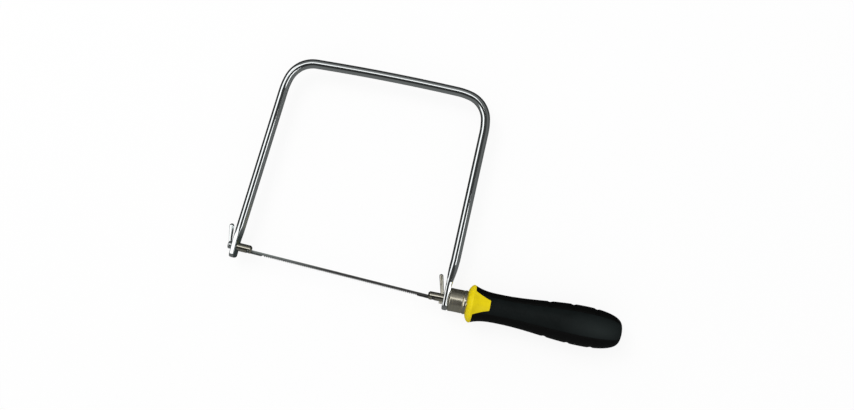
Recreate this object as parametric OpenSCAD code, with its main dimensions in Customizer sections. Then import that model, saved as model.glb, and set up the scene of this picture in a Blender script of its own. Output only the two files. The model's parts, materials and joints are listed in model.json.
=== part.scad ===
// Coping saw with a sprung rod frame, a pinned blade that can be steered, and a screw-on handle.
// It lies on its side: X runs along the blade towards the handle, Y from the blade to the bar, Z up.

/* [Blade] */
// Distance between the blade's two pins
blade_span = 165; // [150:1:180]
// Height of the blade over its teeth
blade_h = 3.2; // [2.8:0.1:3.6]
// Thickness of the blade
blade_t = 0.5; // [0.4:0.05:0.7]
// Length of the blade past each pin
blade_tail = 3; // [2:0.25:3.5]
// Distance of the blade's middle from the steering axis, on the toothed side
blade_drop = 1.3; // [1.1:0.1:1.8]
// Distance from one tooth to the next
tooth_pitch = 1.7; // [1.2:0.1:2.5]
// Depth of a tooth
tooth_depth = 0.8; // [0.4:0.1:1]
// Bare length between each pin and the teeth
tooth_margin = 13; // [8:1:20]
// Diameter of the blade pins
pin_d = 1.6; // [1.2:0.1:1.8]
// Length of a blade pin
pin_l = 5.6; // [4:0.2:6.4]

/* [Frame] */
// Diameter of the frame's rod
rod_d = 8; // [6:0.5:9]
// Depth of the throat, from the steering axis to the underside of the bar
throat_depth = 172.7; // [120:0.1:220]
// Distance along the axis from each blade pin to the middle of its leg
leg_offset = 12; // [11.5:0.25:16]
// Lean of the front leg towards the handle, in degrees
front_lean = 3.15; // [0:0.05:6]
// Lean of the rear leg towards the front, in degrees
rear_lean = 1.65; // [0:0.05:5]
// Bend radius of the front corner, at the middle of the rod
front_bend_r = 25; // [14:0.5:40]
// Bend radius of the rear corner, at the middle of the rod
rear_bend_r = 25; // [14:0.5:40]
// Radius of the gentle bow of the bar
bow_r = 1500; // [800:50:3000]
// Distance of the bow's crown from the front pin
bow_crown = 167; // [80:1:180]
// Length of each leg past the steering axis
leg_tail = 10.2; // [8:0.2:14]
// Width of the front leg's flat
front_flat_w = 9.5; // [8.5:0.25:12]
// Width of the rear leg's flat
rear_flat_w = 11.5; // [8.5:0.25:13]
// Thickness of the front leg's flat
front_flat_t = 7; // [5:0.1:7.4]
// Thickness of the rear leg's flat
rear_flat_t = 4.8; // [4.5:0.1:6.5]
// How far the front flat stands inwards of the rod's middle
front_flat_in = 0.3; // [0:0.1:1]
// How far the rear flat stands inwards of the rod's middle
rear_flat_in = 0.9; // [0:0.1:1]
// Edge radius of the flats
flat_edge_r = 1.6; // [0.5:0.1:2]
// Height above the axis of the middle of the front flat's round top
front_flat_top = 7; // [5:0.5:12]
// Height above the axis where the front leg is round again
front_round_from = 19; // [16:0.5:30]
// Height above the axis of the middle of the rear flat's round top
rear_flat_top = 12; // [8:0.5:14]
// Height above the axis where the rear leg is round again
rear_round_from = 34; // [26:0.5:40]
// How far a leg's milled seat reaches past the piece that seats on it
seat_past = 0.4; // [0.2:0.1:2]
// Length over which a milled seat runs out up its leg
seat_run = 14; // [8:0.5:20]
// Depth that the milling takes off a flat
seat_skim = 0.05; // [0.02:0.01:0.2]

/* [Blade holders] */
// Diameter of a holder's nose
nose_d = 7.2; // [6.6:0.1:7.6]
// Length of the front nose past its pin
front_nose_l = 2.8; // [2.6:0.1:4]
// Length of the rear nose past its pin
rear_nose_l = 4.8; // [2.6:0.1:5]
// Chamfer at the tip of the nose
nose_chamfer = 1.3; // [0.5:0.1:1.4]
// Diameter of the journals in the legs and of the threaded shank
journal_d = 5; // [4.5:0.1:5.5]
// Length of the threaded shank past the rear leg
shank_l = 38; // [32:0.5:42]
// Diameter of a steering lever at its foot
lever_d = 2.9; // [2.6:0.1:3.2]
// Diameter of the rounded top of the front lever
front_bulb_d = 4.4; // [3.2:0.1:5]
// Diameter of the rounded top of the rear lever
rear_bulb_d = 3.5; // [3.2:0.1:5]
// Height of the front lever's top above the axis
front_lever_h = 18.4; // [15:0.2:24]
// Height of the rear lever's top above the axis
rear_lever_h = 20; // [15:0.2:24]
// Lean of the front lever away from its leg, in degrees
front_lever_lean = 8; // [4:0.5:14]
// Lean of the rear lever away from its leg, in degrees
rear_lever_lean = 14; // [4:0.5:18]
// Length of the rear lever's stub below the nose
lever_stub = 1.8; // [0.5:0.1:4]
// Diameter of the front lever's cap
cap_d = 6.8; // [6:0.1:8]
// Thickness of the front lever's cap
cap_t = 3.2; // [3:0.1:4]
// Diameter of the tenon that carries the cap
tenon_d = 3.4; // [2.8:0.1:3.8]
// Length of the tenon
tenon_l = 2; // [1.5:0.1:2.2]

/* [Ferrule and nut] */
// Diameter of the ferrule
ferrule_d = 20.6; // [19:0.1:22]
// Length of the ferrule
ferrule_l = 15.6; // [13:0.1:16]
// Wall of the ferrule
ferrule_wall = 1.2; // [0.8:0.1:1.6]
// Thickness of the ferrule's end wall
ferrule_end = 1.6; // [1.2:0.1:2]
// Rounding of the ferrule's front edge
ferrule_round = 1.1; // [0.4:0.1:1.2]
// Distance of the ferrule's groove from its handle end
groove_back = 3.4; // [2:0.1:4]
// Depth and half width of the ferrule's groove
groove_depth = 0.35; // [0.1:0.05:0.5]
// Diameter of the nut moulded into the handle
nut_d = 9; // [8:0.1:11]
// Length of the nut's barrel
nut_l = 20; // [14:0.5:22]
// Diameter of the nut's flange
nut_flange_d = 13; // [12:0.1:14]
// Thickness of the nut's flange
nut_flange_t = 2.5; // [2:0.1:3]

/* [Handle] */
// Slope of the handle's axis to the steering axis, in degrees
handle_tilt = 2.75; // [0:0.25:3.5]
// Turn of the collar's tongues about the handle's axis, in degrees
handle_roll = 11; // [0:1:30]
// Length of the handle from the rear leg to the butt
handle_l = 151.2; // [135:0.1:170]
// Diameter of the collar's rim
collar_d = 34.1; // [31:0.1:36]
// Distance of the collar's rim from the rear leg
collar_at = 19.2; // [18.8:0.1:20.5]
// Rounding of the collar's rim
rim_round = 1.6; // [0.8:0.1:2]
// Width of the collar's bare band behind the rim
collar_band = 2.9; // [2.4:0.1:4]
// Diameter of the neck
neck_d = 25.4; // [24:0.1:27]
// Distance of the neck from the rear leg
neck_at = 45; // [40:0.5:50]
// Diameter of the belly
belly_d = 34.9; // [31:0.1:38]
// Distance of the belly from the rear leg
belly_at = 118; // [105:0.5:122]
// Diameter of the flat at the butt
butt_flat_d = 12; // [8:0.5:14]
// Thickness of the rubber grip
grip_wall = 2.6; // [2:0.1:3.2]
// Length of the collar's tongues behind the bare band
tongue_l = 14.4; // [8:0.2:18]
// Half width of a tongue where it leaves the band
tongue_root_w = 11.8; // [8:0.1:12]
// Half width of a tongue at its tip
tongue_tip_w = 4.5; // [3:0.1:7]
// Corner radius of a tongue's tip
tongue_round = 1.2; // [0.5:0.1:2.5]
// Distance of the first finger groove from the rear leg
finger_at = 86.5; // [75:0.5:95]
// Distance from one finger groove to the next
finger_pitch = 20.5; // [12:0.5:22]
// Number of finger grooves along the handle
finger_count = 3; // [0:1:3]
// Depth of a finger groove
finger_depth = 0.5; // [0.1:0.05:0.8]
// Radius of a finger groove's hollow
finger_r = 4; // [2:0.5:8]
// Arc that a finger groove covers, in degrees
finger_arc = 94; // [40:2:120]

/* [Clearances] */
// Radial running clearance of a journal in its hole
run_gap = 0.05; // [0.02:0.01:0.1]
// Axial clearance where pieces seat on a leg
seat_gap = 0.1; // [0.05:0.05:0.2]
// Clearance of pieces that are fixed to each other
fit_gap = 0.02; // [0.01:0.01:0.05]
// Clearance of the blade on each side in its slot
blade_gap = 0.35; // [0.3:0.05:0.45]
// Clearance over the blade's back in its slot
back_gap = 0.4; // [0.35:0.05:0.5]
// Clearance of a blade pin on each side in its notch
pin_gap = 0.3; // [0.25:0.05:0.4]
// Clearance of the turning rear lever from its leg
lever_gap = 0.3; // [0.2:0.05:0.8]

/* [Hidden] */
$fn = 64;

// Overlap that lets a cut run clear of the face that it leaves by
past = 1;
// Sides of the round shapes that a leg end is drawn around
flat_fn = 32;
// How far a leg's flat starts below the rod's surface
flat_inset = 0.05;
// Length and height of the thin weld band that joins two stretches of the rod
weld_l = 0.4;
weld_proud = 0.02;
// Straight steps that stand for each curved stretch of the handle
curve_steps = 14;

// Rear blade pin, the foot of each leg on its spindle's axis, and the middle of its flat there
rear_axis_dir = [cos(handle_tilt), sin(handle_tilt)];
rear_pin = [blade_span, 0];
front_foot = [-leg_offset, 0];
rear_foot = rear_pin + leg_offset * rear_axis_dir;
front_flat_at = leg_offset - front_flat_in;
rear_flat_at = leg_offset - rear_flat_in;

// Centre of the bow that the bar follows
crown_y = throat_depth + rod_d / 2;
bow_centre = [bow_crown, crown_y - bow_r];

// Direction up each leg, and towards the throat from it
front_up = [sin(front_lean), cos(front_lean)];
front_in = [cos(front_lean), -sin(front_lean)];
rear_up = [-sin(rear_lean), cos(rear_lean)];
rear_in = [-cos(rear_lean), -sin(rear_lean)];

// Length of a leg from its foot to the bend, where the bend touches both the leg and the bow
function leg_rise(foot, up, inward, bend_r) =
    let (from_bow = foot + inward * bend_r - bow_centre, along = from_bow * up)
    sqrt(along * along - from_bow * from_bow + pow(bow_r - bend_r, 2)) - along;
front_rise = leg_rise(front_foot, front_up, front_in, front_bend_r);
rear_rise = leg_rise(rear_foot, rear_up, rear_in, rear_bend_r);
front_bend = front_foot + front_in * front_bend_r + front_up * front_rise;
rear_bend = rear_foot + rear_in * rear_bend_r + rear_up * rear_rise;

function heading(v) = atan2(v[1], v[0]);
front_bend_end = heading(front_bend - bow_centre);
rear_bend_end = heading(rear_bend - bow_centre);

// Faces of the legs' flats, and what seats on them, along each spindle's axis
front_nose_face = front_flat_at - front_flat_t / 2 + seat_skim;
front_shoulder = front_nose_face - seat_gap;
front_seat_face = front_flat_at + front_flat_t / 2 - seat_skim;
front_cap_face = front_seat_face + seat_gap;
rear_shoulder = rear_flat_at - rear_flat_t / 2 - seat_gap;
rear_seat_face = rear_flat_at + rear_flat_t / 2 - seat_skim;
handle_seat = rear_seat_face + seat_gap;

// Feet of the levers on their spindles' axes
front_lever_at = front_cap_face + cap_t / 2;
rear_lever_at = rear_shoulder + seat_gap - lever_gap - lever_d / 2;

// Blade slot and pin notch
slot_w = blade_t + 2 * blade_gap;
slot_top = blade_h / 2 - blade_drop + back_gap;
notch_w = pin_d + 2 * pin_gap;

// Radii along the handle, and the radius of its surface at a distance from the rear leg
collar_r = collar_d / 2;
neck_r = neck_d / 2;
belly_r = belly_d / 2;
butt_flat_r = butt_flat_d / 2;
band_end = collar_at + collar_band;
flare_power = 3;
butt_power = 4;
butt_l = (handle_l - belly_at) / sqrt(1 - pow(butt_flat_r / belly_r, butt_power));

function flare_r(h) = neck_r + (collar_r - neck_r) * pow((neck_at - h) / (neck_at - collar_at), flare_power);
function swell_r(h) = neck_r + (belly_r - neck_r) * (1 - cos(180 * (h - neck_at) / (belly_at - neck_at))) / 2;
function butt_r(h) = belly_r * pow(1 - pow((h - belly_at) / butt_l, 2), 1 / butt_power);
function grip_r(h) = h < neck_at ? flare_r(h) : h < belly_at ? swell_r(h) : butt_r(h);

function steps(from, to) = [for (i = [0 : curve_steps]) from + (to - from) * i / curve_steps];
// The butt's steps crowd towards its end, where it turns fastest
butt_steps = [for (i = [1 : curve_steps])
    belly_at + (handle_l - belly_at) * sin(90 * i / curve_steps)];
band_steps = steps(band_end, neck_at);
grip_steps = concat(band_steps, [for (h = steps(neck_at, belly_at)) if (h > neck_at) h], butt_steps);

// The grip's inside stays one wall below its surface, and stops one wall short of the butt
core_end = handle_l - grip_wall;
function core_r(h) = grip_r(h) - grip_wall;
core_steps = [for (h = grip_steps) if (h < core_end && core_r(h) > butt_flat_r) h];

spigot_r = ferrule_d / 2 - ferrule_wall - run_gap;
spigot_face = ferrule_end + seat_gap;
nut_at = spigot_face + ferrule_end;
shank_bore_r = journal_d / 2 + 3 * run_gap;
shank_well_end = shank_l + 2 * nut_flange_t;

// Box of the whole saw, whose bottom centre is the origin
front_arm_h = front_lever_h - (front_bulb_d + cap_d) / 2;
reach_front = front_lever_at + front_arm_h * tan(front_lever_lean) + front_bulb_d / 2;
reach_butt = blade_span + (handle_seat + handle_l) * cos(handle_tilt) + butt_flat_r * sin(handle_tilt);
reach_low = collar_r * cos(handle_tilt) - (handle_seat + collar_at) * sin(handle_tilt);
reach_top = crown_y + rod_d / 2;
origin = [(reach_butt - reach_front) / 2, (reach_top - reach_low) / 2, -max(belly_r, collar_r)];

// Points along the arc that rounds corner b between its neighbours a and c
function unit(v) = v / norm(v);
function rounded(a, b, c, r) =
    let (
        u = unit(a - b),
        v = unit(c - b),
        half = acos(u * v) / 2,
        centre = b + unit(u + v) * r / sin(half),
        first = heading(b + u * r / tan(half) - centre),
        turn = heading(b + v * r / tan(half) - centre) - first,
        sweep = turn > 180 ? turn - 360 : turn < -180 ? turn + 360 : turn
    )
    [for (i = [0 : 6]) centre + r * [cos(first + sweep * i / 6), sin(first + sweep * i / 6)]];

// Placing helpers
module placed() { translate(-origin) children(); }
module along_x() { rotate([0, 90, 0]) children(); }
module on_rear_axis() { translate([blade_span, 0, 0]) rotate([0, 0, handle_tilt]) children(); }
module on_handle() { on_rear_axis() translate([handle_seat, 0, 0]) along_x() children(); }
module turned(points) { along_x() rotate_extrude() polygon(points); }

// The frame: a bowed bar, two bends and two legs with flattened, drilled ends
module rod_arc(centre, radius, from, to) {
    translate([centre[0], centre[1], 0])
    rotate([0, 0, from])
    rotate_extrude(angle = to - from, $fn = 128)
    translate([radius, 0])
    circle(d = rod_d);
}

module leg_rod(foot, lean, from, to, inset = 0) {
    translate([foot[0], foot[1], 0])
    rotate([0, 0, -lean])
    translate([0, from, 0])
    rotate([-90, 0, 0])
    cylinder(r = rod_d / 2 - inset, h = to - from, $fn = flat_fn);
}

module rod_weld(at, across) {
    translate([at[0], at[1], 0])
    rotate([0, 0, across])
    rotate([90, 0, 0])
    cylinder(r = rod_d / 2 + weld_proud, h = weld_l, center = true);
}

module flat_disc(wide, thick) {
    for (side = [-1, 1])
        translate([side * (thick / 2 - flat_edge_r), 0, 0])
        along_x()
        rotate_extrude($fn = flat_fn)
        translate([wide / 2 - flat_edge_r, 0])
        circle(r = flat_edge_r, $fn = flat_fn / 2);
}

module flat_end(at, wide, thick, flat_top) {
    for (y = [flat_top, wide / 2 - leg_tail])
        translate([at, y, 0])
        flat_disc(wide, thick);
}

// What is milled off one side of a leg for the piece that seats there, running out up the rod.
// The side is 1 outside the throat and -1 inside it.
module seat_cut(face, seat_d, side, lean_out) {
    low = -leg_tail - past;
    seat_top = seat_d / 2 + seat_past;
    run_top = seat_top + seat_run;
    rod_face = leg_offset + run_top * tan(lean_out) + side * (rod_d / 2 + seat_past);
    linear_extrude(2 * seat_d, center = true)
    polygon([[face, low], [face, seat_top], [rod_face, run_top], [rod_face + side * past, low]]);
}

module journal_hole(at, thick) {
    translate([at, 0, 0])
    along_x()
    cylinder(r = journal_d / 2 + run_gap, h = thick + 2 * past, center = true);
}

module frame() {
    color("gainsboro")
    placed()
    difference() {
        union() {
            rod_arc(bow_centre, bow_r, rear_bend_end, front_bend_end);
            rod_arc(front_bend, front_bend_r, front_bend_end, heading(-front_in));
            rod_arc(rear_bend, rear_bend_r, heading(-rear_in), rear_bend_end);
            leg_rod(front_foot, front_lean, front_round_from, front_rise);
            leg_rod(rear_foot, -rear_lean, rear_round_from, rear_rise);
            rod_weld(front_foot + front_up * front_rise, heading(front_in));
            rod_weld(rear_foot + rear_up * rear_rise, heading(rear_in));
            for (a = [front_bend_end, rear_bend_end])
                rod_weld(bow_centre + bow_r * [cos(a), sin(a)], a);
            hull() {
                leg_rod(front_foot, front_lean, front_round_from, front_round_from + past, flat_inset);
                flat_end(-front_flat_at, front_flat_w, front_flat_t, front_flat_top);
            }
            hull() {
                leg_rod(rear_foot, -rear_lean, rear_round_from, rear_round_from + past, flat_inset);
                on_rear_axis() flat_end(rear_flat_at, rear_flat_w, rear_flat_t, rear_flat_top);
            }
        }
        mirror([1, 0, 0]) {
            seat_cut(front_seat_face, cap_d, 1, -front_lean);
            seat_cut(front_nose_face, nose_d, -1, -front_lean);
        }
        on_rear_axis() seat_cut(rear_seat_face, ferrule_d, 1, handle_tilt - rear_lean);
        journal_hole(-front_flat_at, front_flat_t);
        on_rear_axis() journal_hole(rear_flat_at, rear_flat_t);
    }
}

// Slot for the blade and notch for its pin, drawn for a nose that points along X
module blade_seat(nose_l) {
    translate([-blade_tail - back_gap, -nose_d, -slot_w / 2])
    cube([blade_tail + back_gap + nose_l + past, nose_d + slot_top, slot_w]);
    translate([-notch_w / 2, -nose_d, -nose_d / 2])
    cube([notch_w, nose_d - blade_drop, nose_d]);
    translate([0, -blade_drop, 0])
    cylinder(d = notch_w, h = nose_d, center = true);
}

// Lever square to its spindle as far as a bend, then leaning, with a rounded top
module lever(below, bend_at, top, lean, bulb_d) {
    arm_l = (top - bulb_d / 2 - bend_at) / cos(lean);
    translate([0, -below, 0])
    rotate([-90, 0, 0])
    cylinder(d = lever_d, h = below + bend_at);
    translate([0, bend_at, 0])
    rotate([0, 0, lean])
    rotate([-90, 0, 0]) {
        sphere(d = lever_d);
        cylinder(d1 = lever_d, d2 = bulb_d, h = arm_l);
        translate([0, 0, arm_l])
        sphere(d = bulb_d);
    }
}

module front_spindle() {
    color("darkkhaki")
    placed()
    difference() {
        turned([
            [0, -front_cap_face - tenon_l],
            [tenon_d / 2, -front_cap_face - tenon_l],
            [tenon_d / 2, -front_cap_face],
            [journal_d / 2, -front_cap_face],
            [journal_d / 2, -front_shoulder],
            [nose_d / 2, -front_shoulder],
            [nose_d / 2, front_nose_l - nose_chamfer],
            [nose_d / 2 - nose_chamfer, front_nose_l],
            [0, front_nose_l]
        ]);
        blade_seat(front_nose_l);
    }
}

module front_lever() {
    dome_h = cap_t - tenon_l + fit_gap;
    color("darkkhaki")
    placed()
    difference() {
        union() {
            translate([-front_cap_face, 0, 0])
            turned(concat(
                [[0, 0], [cap_d / 2, 0]],
                [for (a = [0 : 10 : 80]) [cap_d / 2 * cos(a), dome_h - cap_t - dome_h * sin(a)]],
                [[0, -cap_t]]
            ));
            translate([-front_lever_at, 0, 0])
            lever(0, cap_d / 2, front_lever_h, front_lever_lean, front_bulb_d);
        }
        translate([-front_cap_face + past, 0, 0])
        turned([
            [0, 0],
            [tenon_d / 2 + fit_gap, 0],
            [tenon_d / 2 + fit_gap, -past - tenon_l - fit_gap],
            [0, -past - tenon_l - fit_gap]
        ]);
        translate([-front_cap_face, -nose_d, -nose_d])
        cube([nose_d, 2 * nose_d, 2 * nose_d]);
    }
}

module rear_spindle() {
    shank_end = handle_seat + shank_l;
    color("darkkhaki")
    placed()
    on_rear_axis()
    difference() {
        turned([
            [0, -rear_nose_l],
            [nose_d / 2 - nose_chamfer, -rear_nose_l],
            [nose_d / 2, nose_chamfer - rear_nose_l],
            [nose_d / 2, rear_shoulder],
            [journal_d / 2, rear_shoulder],
            [journal_d / 2, shank_end - nose_chamfer],
            [journal_d / 2 - nose_chamfer, shank_end],
            [0, shank_end]
        ]);
        mirror([1, 0, 0]) blade_seat(rear_nose_l);
        translate([rear_lever_at, 0, 0])
        rotate([-90, 0, 0])
        cylinder(r = lever_d / 2 + fit_gap, h = 2 * nose_d, center = true);
    }
}

module rear_lever() {
    color("darkkhaki")
    placed()
    on_rear_axis()
    translate([rear_lever_at, 0, 0])
    lever(nose_d / 2 + lever_stub, nose_d / 2, rear_lever_h, rear_lever_lean, rear_bulb_d);
}

// The blade: raked teeth along its lower edge, cutting on the pull
module blade() {
    back = blade_h / 2 - blade_drop;
    tip = -blade_h / 2 - blade_drop;
    gullet = tip + tooth_depth;
    toothed = blade_span - 2 * tooth_margin;
    teeth = floor(toothed / tooth_pitch);
    first = (blade_span - teeth * tooth_pitch) / 2;
    tooth_points = [for (i = [0 : teeth - 1], step = [0, 1])
        [first + (i + step) * tooth_pitch, step == 0 ? gullet : tip]];
    color("slategray")
    placed()
    difference() {
        translate([0, 0, -blade_t / 2])
        linear_extrude(blade_t)
        polygon(concat(
            [[-blade_tail, back], [-blade_tail, tip], [first - tooth_pitch, tip]],
            tooth_points,
            [[first + (teeth + 1) * tooth_pitch, tip]],
            [[blade_span + blade_tail, tip], [blade_span + blade_tail, back]]
        ));
        for (x = [0, blade_span])
            translate([x, -blade_drop, 0])
            cylinder(r = pin_d / 2 + fit_gap, h = blade_t + 2 * past, center = true);
    }
}

module blade_pin(x) {
    color("dimgray")
    placed()
    translate([x, -blade_drop, 0])
    cylinder(d = pin_d, h = pin_l, center = true);
}

module front_blade_pin() { blade_pin(0); }
module rear_blade_pin() { blade_pin(blade_span); }

// The ferrule: a drawn cup that seats on the rear leg and holds the handle's spigot
module ferrule() {
    outer = ferrule_d / 2;
    inner = outer - ferrule_wall;
    groove_at = ferrule_l - groove_back;
    color("rosybrown")
    placed()
    on_handle()
    rotate_extrude()
    polygon(concat(
        [[journal_d / 2 + 2 * run_gap, 0]],
        rounded([0, 0], [outer, 0], [outer, ferrule_l], ferrule_round),
        [[outer, groove_at - groove_depth], [outer - groove_depth, groove_at]],
        [[outer, groove_at + groove_depth], [outer, ferrule_l], [inner, ferrule_l]],
        [[inner, ferrule_end], [journal_d / 2 + 2 * run_gap, ferrule_end]]
    ));
}

// The nut moulded into the handle's core
module handle_nut() {
    color("goldenrod")
    placed()
    on_handle()
    rotate_extrude()
    polygon([
        [journal_d / 2 + run_gap, nut_at],
        [nut_d / 2, nut_at],
        [nut_d / 2, nut_at + nut_l],
        [nut_flange_d / 2, nut_at + nut_l],
        [nut_flange_d / 2, nut_at + nut_l + nut_flange_t],
        [journal_d / 2 + run_gap, nut_at + nut_l + nut_flange_t]
    ]);
}

// Outline of the collar's tongues, seen along the way they face, widened by a gap
module tongue_prism(gap) {
    tip_h = band_end + tongue_l + gap;
    root = [for (side = [1, -1]) [band_end, side * (tongue_root_w + gap)]];
    tip = [for (side = [1, -1]) [tip_h, side * (tongue_tip_w + gap)]];
    rotate([0, 0, -handle_roll])
    rotate([0, -90, 0])
    linear_extrude(2 * collar_d, center = true)
    polygon(concat(
        [[band_end - past, root[1][1]], [band_end - past, root[0][1]], root[0]],
        rounded(root[0], tip[0], tip[1], tongue_round),
        rounded(tip[0], tip[1], root[1], tongue_round),
        [root[1]]
    ));
}

module grip_body(from) {
    rotate_extrude()
    polygon(concat(
        [[0, from]],
        [for (h = grip_steps) [grip_r(h), h]],
        [[0, handle_l]]
    ));
}

// The core: spigot, collar with two tongues, and the stem inside the grip
module handle_core() {
    cone_foot = [ferrule_d / 2 - 2 * run_gap, ferrule_l + seat_gap];
    rim = [collar_r, collar_at];
    band = [flare_r(band_end), band_end];
    color("gold")
    placed()
    on_handle()
    difference() {
        union() {
            rotate_extrude()
            polygon(concat(
                [[0, spigot_face], [spigot_r, spigot_face], [spigot_r, cone_foot[1]], cone_foot],
                rounded(cone_foot, rim, band, rim_round),
                [band, [core_r(band_end), band_end]],
                [for (h = core_steps) [core_r(h), h]],
                [[butt_flat_r, core_end], [0, core_end]]
            ));
            intersection() {
                grip_body(band_end);
                tongue_prism(0);
            }
        }
        translate([0, 0, spigot_face - past])
        cylinder(r = shank_bore_r, h = shank_well_end - spigot_face + past);
        translate([0, 0, nut_at - fit_gap])
        cylinder(r = nut_d / 2 + fit_gap, h = nut_l + 2 * fit_gap);
        translate([0, 0, nut_at + nut_l - fit_gap])
        cylinder(r = nut_flange_d / 2 + fit_gap, h = nut_flange_t + 2 * fit_gap);
    }
}

// The rubber grip moulded over the core, with shallow finger grooves on its two edges
module grip_sleeve() {
    color("dimgray")
    placed()
    on_handle()
    difference() {
        grip_body(band_end + fit_gap);
        rotate_extrude()
        polygon(concat(
            [[0, band_end - past], [core_r(band_end) + fit_gap, band_end - past]],
            [for (h = core_steps) [core_r(h) + fit_gap, h]],
            [[butt_flat_r + fit_gap, core_end + fit_gap], [0, core_end + fit_gap]]
        ));
        tongue_prism(fit_gap);
        for (i = [0 : 1 : finger_count - 1], side = [0, 180])
            finger_groove(finger_at + i * finger_pitch, side);
    }
}

module finger_groove(h, side) {
    rotate([0, 0, side + 90 - handle_roll - finger_arc / 2])
    rotate_extrude(angle = finger_arc)
    translate([grip_r(h) + finger_r - finger_depth, h])
    circle(r = finger_r);
}

frame();
front_spindle();
front_lever();
rear_spindle();
rear_lever();
blade();
front_blade_pin();
rear_blade_pin();
ferrule();
handle_nut();
handle_core();
grip_sleeve();
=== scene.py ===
# %% [markdown]
# # A coping saw, dressed for its picture
#
# A coping saw is a bent rod that pulls a thin blade tight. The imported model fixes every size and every
# joint. This lesson gives each piece the surface of the real one: bright plate on the rod, dull plate on
# the holders, dark steel on the blade, and a moulded handle in yellow plastic and black rubber. The packed
# solids could simply be painted, but their round faces are made of flat facets, and bright metal shows
# every one of them. So the pieces are made again, smoother, on the same axes and to the same sizes.

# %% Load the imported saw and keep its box
import json
from math import copysign, cos, exp, pi, radians, sin, sqrt

import bmesh
import bpy
from mathutils import Matrix, Vector


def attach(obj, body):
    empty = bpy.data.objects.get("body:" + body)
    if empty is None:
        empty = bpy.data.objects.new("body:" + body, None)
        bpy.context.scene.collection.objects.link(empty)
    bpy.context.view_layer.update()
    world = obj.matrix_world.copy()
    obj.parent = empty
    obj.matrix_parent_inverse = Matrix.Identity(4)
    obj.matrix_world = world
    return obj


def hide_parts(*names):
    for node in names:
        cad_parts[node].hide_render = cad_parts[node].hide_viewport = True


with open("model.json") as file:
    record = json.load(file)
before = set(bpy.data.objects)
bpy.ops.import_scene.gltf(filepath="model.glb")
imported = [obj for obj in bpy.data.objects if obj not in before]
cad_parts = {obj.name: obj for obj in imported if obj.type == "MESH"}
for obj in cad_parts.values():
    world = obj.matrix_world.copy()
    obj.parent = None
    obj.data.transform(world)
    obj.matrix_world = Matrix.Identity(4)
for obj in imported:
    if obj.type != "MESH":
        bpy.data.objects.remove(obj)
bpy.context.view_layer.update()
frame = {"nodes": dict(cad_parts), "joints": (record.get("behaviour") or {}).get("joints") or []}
print("packed nodes:", len(frame["nodes"]))

# %% [markdown]
# ## The saw's axes
#
# Each piece is bent, turned or moulded about one of three lines: the axis of the front holder, the axis of
# the rear holder, and the handle's axis, which is that second line further out. The joints of the packed
# model already say where these lines are, so no position is measured twice. A piece is drawn in millimetres
# about its own line, with turned pieces standing along Z, and one matrix then puts it in its place in metres.

# %% Matrices from millimetres on an axis to metres on the saw
joints = {joint["name"]: joint for joint in frame["joints"]}
front_pin = Vector(joints["front_turn"]["pos_m"])
rear_pin = Vector(joints["rear_turn"]["pos_m"])
rear_slope = Vector(joints["rear_turn"]["axis"]).xy.normalized()
to_metres = Matrix.Scale(0.001, 4)
viewer_way = Vector((0, 0, 1))
grip_turn = radians(-11)


def on_axis(joint_name):
    """Puts a shape drawn along Z on a joint's axis, with X towards the bar and Y towards the viewer"""
    along = Vector(joints[joint_name]["axis"]).normalized()
    turn = Matrix((viewer_way.cross(along), viewer_way, along)).transposed().to_4x4()
    return Matrix.Translation(joints[joint_name]["pos_m"]) @ turn @ to_metres


on_front = on_axis("front_turn")
on_rear = on_axis("rear_turn")
on_handle = on_axis("handle_turn")
on_grip = on_handle @ Matrix.Rotation(grip_turn, 4, "Z")
in_plane = Matrix.Translation(front_pin) @ to_metres
blade_span = (rear_pin - front_pin).length * 1000
print("blade pins are", round(blade_span, 2), "mm apart")

# %% [markdown]
# ## Nodes for a finish
#
# A finish is a small graph of shader nodes. Written out by hand, each node takes four or five lines, and the
# idea of the finish is lost among them. One helper makes a node, sets its values and links whatever it is
# fed from, and a few more name the steps that come back, so that a finish reads from top to bottom. All
# patterns read Object coordinates, which are metres on the saw here, so a scale of 1000 means one cycle in
# a millimetre.

# %% Helpers that add and link nodes
def add_node(finish, kind, sockets=None, **settings):
    """Adds a node to a finish. Each socket gets a plain value, or is linked to the output it is given"""
    made = finish.node_tree.nodes.new(kind)
    for name, value in settings.items():
        setattr(made, name, value)
    feed(finish, made, sockets or {})
    return made


def feed(finish, target, sockets):
    """Sets or links the inputs of a node"""
    for name, value in sockets.items():
        if isinstance(value, bpy.types.NodeSocket):
            finish.node_tree.links.new(value, target.inputs[name])
        else:
            target.inputs[name].default_value = value


def new_finish(name, shader_values):
    """A material with its Principled shader set, that shader, and its Object coordinates"""
    finish = bpy.data.materials.new(name)
    finish.use_nodes = True
    shader = finish.node_tree.nodes["Principled BSDF"]
    feed(finish, shader, shader_values)
    return finish, shader, add_node(finish, "ShaderNodeTexCoord").outputs["Object"]


print("node helpers ready")

# %% Steps that a finish is made of
x_way, y_way, z_way = (1, 0, 0), (0, 1, 0), (0, 0, 1)


def ramp(finish, value, start, stop, low=0.0, high=1.0, **settings):
    """Runs from low to high while a value goes from start to stop"""
    readings = {"Value": value, 1: start, 2: stop, 3: low, 4: high}
    return add_node(finish, "ShaderNodeMapRange", readings, **settings).outputs["Result"]


def maths(finish, operation, first, second=0.0):
    """One step of arithmetic"""
    return add_node(finish, "ShaderNodeMath", {0: first, 1: second}, operation=operation).outputs["Value"]


def reading_along(finish, place, way):
    """How far a place lies along a direction"""
    made = add_node(finish, "ShaderNodeVectorMath", {0: place, 1: way}, operation="DOT_PRODUCT")
    return made.outputs["Value"]


def measured_from(finish, place, point):
    """A place as seen from a point on the saw"""
    made = add_node(finish, "ShaderNodeVectorMath", {0: place, 1: point}, operation="SUBTRACT")
    return made.outputs["Vector"]


def mapped(finish, place, **sockets):
    """A place that is turned or stretched for a pattern"""
    return add_node(finish, "ShaderNodeMapping", {"Vector": place, **sockets}).outputs["Vector"]


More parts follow.
